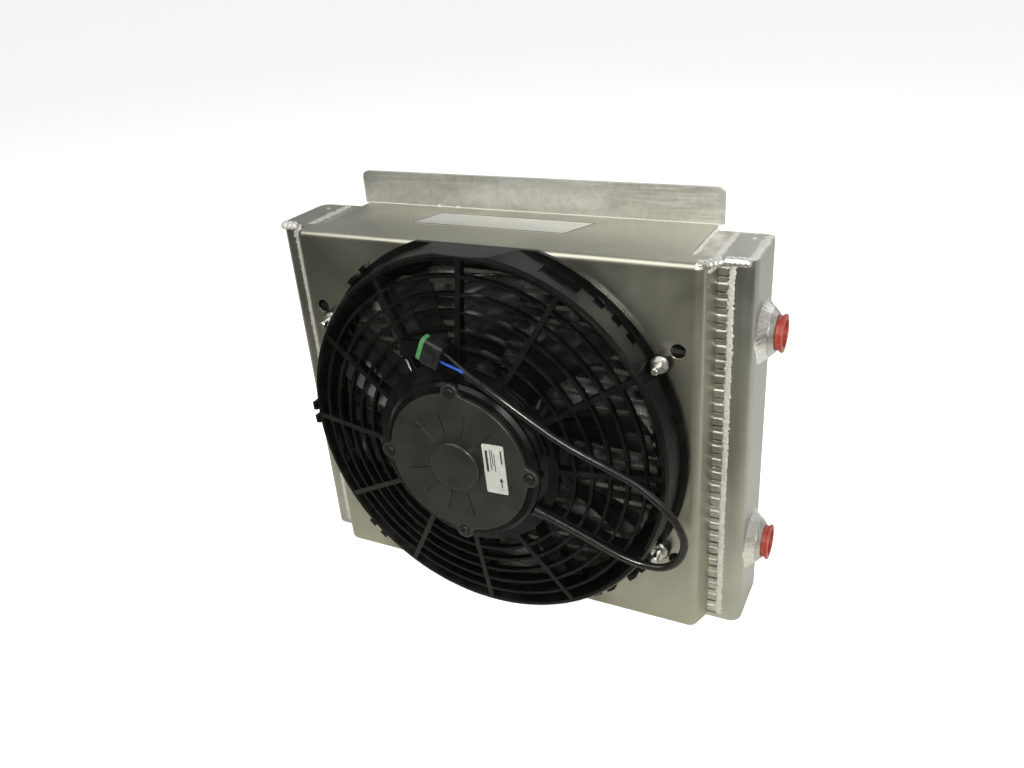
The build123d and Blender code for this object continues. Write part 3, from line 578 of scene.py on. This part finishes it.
class Weld:
    """Collects weld beads that become one piece."""

    def __init__(self):
        self.points = []
        self.faces = []

    def bead(self, path, up, width, height, pitch=3.0, depth=0.3, waver=0.12, step=0.5):
        """A domed bead along a path, with ripples pitch apart that are depth of its height."""
        centres = resampled(path, step)
        up = Vector(up).normalized()
        across_count = 11
        travelled = 0.0
        total = sum((b - a).length for a, b in zip(centres, centres[1:]))
        first = len(self.points)
        for i, centre in enumerate(centres):
            ahead = (centres[min(i + 1, len(centres) - 1)] - centres[max(i - 1, 0)]).normalized()
            side = ahead.cross(up).normalized()
            if i:
                travelled += (centre - centres[i - 1]).length
            wobble = noise.noise(centre * 0.25) * waver
            end_gap = min(travelled, total - travelled) / (width / 2)
            cap = math.sqrt(max(0.0, 1 - (1 - min(end_gap, 1.0)) ** 2))
            edge = 0.9 + 0.1 * ripple(travelled, pitch) + noise.noise(centre * 0.5) * waver
            for k in range(across_count):
                v = 2 * k / (across_count - 1) - 1
                puddle = 1 - depth + depth * ripple(travelled + v * v * pitch * 0.45, pitch)
                dome = math.sqrt(max(0.0, 1 - v * v))
                reach = side * (v * width / 2 * edge * max(cap, 0.05) + wobble * width * 0.2)
                rise = up * (height * dome * puddle * cap - WELD_SINK)
                self.points.append(centre + reach + rise)
        self.faces += lattice(len(centres), across_count, first=first)

    def puddle(self, centre, up, radius, height):
        """A single round pool of weld, with ripple rings."""
        up = Vector(up).normalized()
        side = up.orthogonal().normalized()
        other = up.cross(side)
        rings, spokes = 9, 28
        first = len(self.points)
        for i in range(rings):
            share = i / (rings - 1)
            for k in range(spokes):
                angle = 2 * math.pi * k / spokes
                out = radius * share * (1 + 0.06 * math.sin(3 * angle + centre[0]))
                rise = height * (math.sqrt(1 - share ** 2) + 0.04 * math.cos(share * 9)) - WELD_SINK
                outward = side * math.cos(angle) + other * math.sin(angle)
                self.points.append(Vector(centre) + outward * out + up * rise)
        self.faces += lattice(rings, spokes, closed_columns=True, first=first)

    def collar(self, centre, axis, inner, outer, height, pitch=4.0):
        """A rippled fillet round a boss: inner and outer radii, and how high it climbs."""
        axis = Vector(axis)
        side = axis.orthogonal().normalized()
        other = axis.cross(side)
        rows, spokes = 10, 180
        first = len(self.points)
        for i in range(rows):
            share = i / (rows - 1)
            for k in range(spokes):
                angle = 2 * math.pi * k / spokes
                along = angle * (inner + outer) / 2
                wave = ripple(along + share * share * 3, pitch)
                seed = Vector((math.cos(angle) * 2, math.sin(angle) * 2, share + centre[2]))
                swing = 1 + 0.05 * noise.noise(seed)
                radius = (outer + (inner - outer) * share) * swing
                climb = height * (share ** 1.5) + 0.55 * wave * math.sin(math.pi * share) - 0.9 * (1 - share)
                outward = side * math.cos(angle) + other * math.sin(angle)
                self.points.append(Vector(centre) + outward * radius + axis * climb)
        self.faces += lattice(rows, spokes, closed_columns=True, first=first)

    def piece(self, name, material, slot):
        return mesh_piece(name, self.points, self.faces, [material])


def seam(weld, start, stop, up, width):
    """A wide, flat, wavy strip of cleaned weld."""
    weld.bead([start, stop], up, width, SEAM_H, pitch=SEAM_PITCH, depth=0.25, waver=0.7, step=0.8)


def tank_seams(side, materials):
    """The pale strips where one tank, its caps, the core and the shroud's top sheet meet."""
    weld = Weld()
    edge_x = side * (SHELL_X + 2.6)
    for face_y, out in ((CORE_FRONT_Y, -1), (CORE_BACK_Y, 1)):
        seam(weld, (edge_x, face_y, TANK_TOP_Z - 2), (edge_x, face_y, 6), (0, out, 0), 5.6)
    front, back = CORE_FRONT_Y + 2, CORE_BACK_Y
    cap_width = 6.5 if side > 0 else 10.0
    seam(weld, (side * CAP_X, front, TANK_TOP_Z), (side * CAP_X, back, TANK_TOP_Z), (0, 0, 1), cap_width)
    sheet_x, sheet_z = side * (SHEET_X + 1), TANK_TOP_Z + 0.5
    seam(weld, (sheet_x, front - 3, sheet_z), (sheet_x, back + 6, sheet_z), (side * 0.2, 0, 1), 4.6)
    rim_x, rim_y = TANK_X - 5, back - 1.5
    seam(weld, (side * (CAP_X + 2), rim_y, TANK_TOP_Z), (side * rim_x, rim_y, TANK_TOP_Z), (0, 0.2, 1), 3.4)
    if side > 0:
        seam(weld, (rim_x, front + 1, TANK_TOP_Z), (rim_x, back - 3, TANK_TOP_Z), (0, 0, 1), 7.5)
    name = "right" if side > 0 else "left"
    weld.piece(name + "_tank_seams", materials["heat_band"], "tank_aluminium")


def cap_pip(weld, side):
    """A small round pip of weld on a tank's top cap."""
    weld.puddle((side * 203, 20, TANK_TOP_Z), (0, 0, 1), 2.2, 0.7)


def right_corner_welds(materials):
    """A bright bead on the right cap's front edge, and round puddles on to the shroud's corner."""
    weld = Weld()
    edge_y, edge_z = CORE_FRONT_Y + 1.2, TANK_TOP_Z - 1
    edge = [(CAP_X + 5, edge_y, edge_z), (TANK_X - 4, edge_y, edge_z)]
    weld.bead(edge, (0, -1, 1), 8.0, 3.0, pitch=9.0, depth=0.10)
    corner = Vector((180.5, -49.5, TOP_SHEET_Z - 2.2))
    tank = Vector((CAP_X + 4, CORE_FRONT_Y, TANK_TOP_Z - 1.5))
    for i, radius in enumerate((4.3, 3.9, 3.7, 3.5, 3.4)):
        weld.puddle(corner.lerp(tank, i / 4), (0.6, -0.75, 0.75), radius, 2.4)
    cap_pip(weld, 1)
    weld.piece("right_corner_welds", materials["weld"], "tank_aluminium")
    heat = Weld()
    low_z = TOP_SHEET_Z - 8
    turn = (185.9, -46.9, low_z)
    seam(heat, (181.4, -52.6, low_z + 2), turn, (0.75, -0.65, 0), 3.0)
    seam(heat, turn, (189.6, -35.8, low_z + 1), (0.95, -0.3, 0), 3.0)
    heat.piece("right_corner_heat_patch", materials["heat_band"], "shroud_aluminium")


def left_corner_welds(materials):
    """A smooth tear of weld over the shroud's left corner, and three puddles on the tank's."""
    weld = Weld()
    weld.puddle((-186.5, -47.5, TOP_SHEET_Z - 2.8), (-0.5, -0.65, 0.6), 6.6, 1.7)
    weld.puddle((-187.4, -44.5, TOP_SHEET_Z - 9), (-0.9, -0.42, 0.1), 4.2, 1.2)
    for x in (-203, -208, -213):
        weld.puddle((x, CORE_FRONT_Y + 1.0, TANK_TOP_Z - 1.2), (-0.2, -0.9, 0.9), 4.4, 2.4)
    cap_pip(weld, -1)
    weld.piece("left_corner_welds", materials["heat_band"], "tank_aluminium")


def port_welds(materials):
    """The flared, rippled fillets round the two port bosses."""
    weld = Weld()
    for z in PORT_Z:
        weld.collar((TANK_X, 0, z), (1, 0, 0), BOSS_R - 0.2, PORT_WELD_R, PORT_WELD_H)
    weld.piece("port_boss_welds", materials["weld"], "boss_aluminium")


def flange_welds(materials):
    """A thin cleaned run along the foot of the upright strip, with two faint tacks."""
    weld = Weld()
    low, high = (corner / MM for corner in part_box("mount_flange"))
    foot_y = low.y - 0.2
    seam(weld, (low.x + 2, foot_y, TOP_SHEET_Z), (high.x - 2, foot_y, TOP_SHEET_Z), (0, -1, 1), 2.4)
    for x in (-92, -72):
        weld.puddle((x, low.y - 0.6, TOP_SHEET_Z + 0.4), (0, -1, 0.9), 2.4, 0.9)
    weld.piece("mount_flange_welds", materials["heat_band"], "flange_aluminium")


# ---------------------------------------------------------------- core fins
def fin_wave(start, stop, low, high, pitch, shift):
    """The folded outline of one fin strip: flat tops and bottoms joined by steep sides."""
    points = []
    x = start - shift * pitch
    while x < stop:
        for share, level in ((0.0, low), (0.12, high), (0.5, high), (0.62, low)):
            points.append((min(max(x + share * pitch, start), stop), level))
        x += pitch
    return points


def fine_fins(materials):
    """Fins of offset strips at a fine pitch, in place of the CAD's coarse zigzag."""
    low, high = (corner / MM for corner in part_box("air_fins"))
    strip_h = high.z - low.z - LAYER_PITCH * (AIR_LAYERS - 1)
    row_depth = (high.y - low.y) / FIN_ROWS
    points, faces = [], []
    for layer in range(AIR_LAYERS):
        bottom = low.z + layer * LAYER_PITCH
        for row in range(FIN_ROWS):
            wave = fin_wave(low.x, high.x, bottom, bottom + strip_h, FIN_PITCH, 0.5 * (row % 2))
            front = low.y + row * row_depth
            first = len(points)
            back = front + row_depth - FIN_ROW_GAP
            points += [(x, y, z) for x, z in wave for y in (front, back)]
            faces += lattice(len(wave), 2, first=first)
    slot = "fin_aluminium"
    fins = mesh_piece("air_fins_fine", points, faces, [materials[slot]], smooth=False)
    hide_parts("air_fins")


# ---------------------------------------------------------------- labels
def inset_quad(corners, amount):
    """A quadrilateral's corners moved inwards along both of their sides."""
    moved = []
    for i, corner in enumerate(corners):
        to_next = (corners[(i + 1) % 4] - corner).normalized()
        to_last = (corners[i - 1] - corner).normalized()
        sine = abs(to_next.cross(to_last).length)
        moved.append(corner + (to_next + to_last) * (amount / sine))
    return moved


def top_label(materials):
    """A plain silver parallelogram with a thin dark outline."""
    low, high = (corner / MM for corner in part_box("top_label"))
    outer = [Vector((-91, low.y, high.z)), Vector((57, low.y, high.z)),
             Vector((73, high.y, high.z)), Vector((-78, high.y, high.z))]
    loops = [[p - Vector((0, 0, high.z - low.z)) for p in outer], outer]
    for inset, rise in ((0.4, 0.0), (1.8, 0.0), (2.0, 0.05)):
        loops.append([p + Vector((0, 0, rise)) for p in inset_quad(outer, inset)])
    points = [p for loop in loops for p in loop]
    faces = lattice(len(loops), 4, closed_columns=True)
    outline_band = 2
    indexes = [int(face // 4 == outline_band) for face in range(len(faces))]
    last = len(points) - 4
    faces.append((last, last + 1, last + 2, last + 3))
    label = mesh_piece("top_label_foil", points, faces, [materials["label_foil"], materials["ink"]],
                       indexes + [0], smooth=False)
    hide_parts("top_label")


def motor_label_marks(materials):
    """Plain bars and an upright arrow on the motor's white label: no lettering."""
    low, high = (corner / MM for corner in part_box("motor_label"))
    face_y = low.y - 0.03
    centre = (low + high) / 2
    turn = math.radians(2)
    points, faces = [], []

    def mark(outline):
        first = len(points)
        for across, along in outline:
            x = centre.x + across * math.cos(turn) - along * math.sin(turn)
            z = centre.z + across * math.sin(turn) + along * math.cos(turn)
            points.append((x, face_y, z))
        faces.append(tuple(range(first, first + len(outline))))

    def bar(across, start, stop, width):
        left, right = across - width / 2, across + width / 2
        mark([(left, start), (right, start), (right, stop), (left, stop)])

    for across, start, stop, width in ((-6.4, -3, 17, 2.2), (-3.0, -1, 18, 0.8), (-1.2, 3, 18, 0.8),
                                       (0.6, -2, 14, 0.8), (7.0, 6, 18, 1.4)):
        bar(across, start, stop, width)
    arrow_x = 4.9
    bar(arrow_x, -19, -18.5, 3.4)
    bar(arrow_x, -17, -11, 1.2)
    mark([(arrow_x - 2, -11), (arrow_x + 2, -11), (arrow_x, -7)])
    mesh_piece("motor_label_marks", points, faces, [materials["ink"]], smooth=False)


# ---------------------------------------------------------------- motor lead
def spline_object(name, points, radius, material):
    """A round cable along one smooth spline through control points in metres."""
    curve = bpy.data.curves.new(name, "CURVE")
    curve.dimensions = "3D"
    curve.bevel_depth = radius * MM
    curve.bevel_resolution = 8
    curve.resolution_u = 12
    curve.use_fill_caps = True
    spline = curve.splines.new("NURBS")
    spline.points.add(len(points) - 1)
    for target, point in zip(spline.points, points):
        target.co = (*point, 1.0)
    spline.order_u = 3
    spline.use_endpoint_u = True
    curve.materials.append(material)
    piece = bpy.data.objects.new(name, curve)
    bpy.context.scene.collection.objects.link(piece)
    return piece


def motor_lead(materials):
    """The sheathed lead from the motor, round its loop and back to the connector on the guard."""
    route = [fan_point(*p) for p in CABLE_ROUTE]
    cable = spline_object("motor_lead", route, CABLE_R, materials["cable_sheath"])
    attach(cable, ROOT)
    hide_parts("motor_cable")


def strain_relief(materials):
    """The ribbed rubber boot where the lead leaves the motor."""
    start = fan_point(*CABLE_ROUTE[0]) / MM
    ahead = (fan_point(*CABLE_ROUTE[1]) / MM - start).normalized()
    side = ahead.orthogonal().normalized()
    other = ahead.cross(side)
    length, ribs, spokes = 12.0, 5, 32
    outline = [(0.0, 0.0)]
    for i in range(ribs):
        base = length * i / ribs
        radius = 5.6 - 1.4 * i / ribs
        for along, out in ((0.0, -0.7), (0.15, 0.0), (0.6, -0.05), (0.75, -0.7)):
            outline.append((base + along * length / ribs, radius + out))
    outline.append((length, CABLE_R + 0.3))
    outline.append((length, CABLE_R - 0.2))
    points = []
    for along, radius in outline:
        for k in range(spokes):
            angle = 2 * math.pi * k / spokes
            outward = side * math.cos(angle) + other * math.sin(angle)
            points.append(start + ahead * (along - length) + outward * radius)
    boot = mesh_piece("strain_relief_boot", points, lattice(len(outline), spokes, closed_columns=True),
                      [materials["cable_sheath"]])
    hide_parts("cable_grommet")


# ---------------------------------------------------------------- build the scene
make_camera()
make_studio()
finishes = make_materials()
paint_cad_nodes(finishes)
motor_lead(finishes)
strain_relief(finishes)
fine_fins(finishes)
for tank_side in (-1, 1):
    tank_seams(tank_side, finishes)
right_corner_welds(finishes)
left_corner_welds(finishes)
port_welds(finishes)
flange_welds(finishes)
top_label(finishes)
motor_label_marks(finishes)
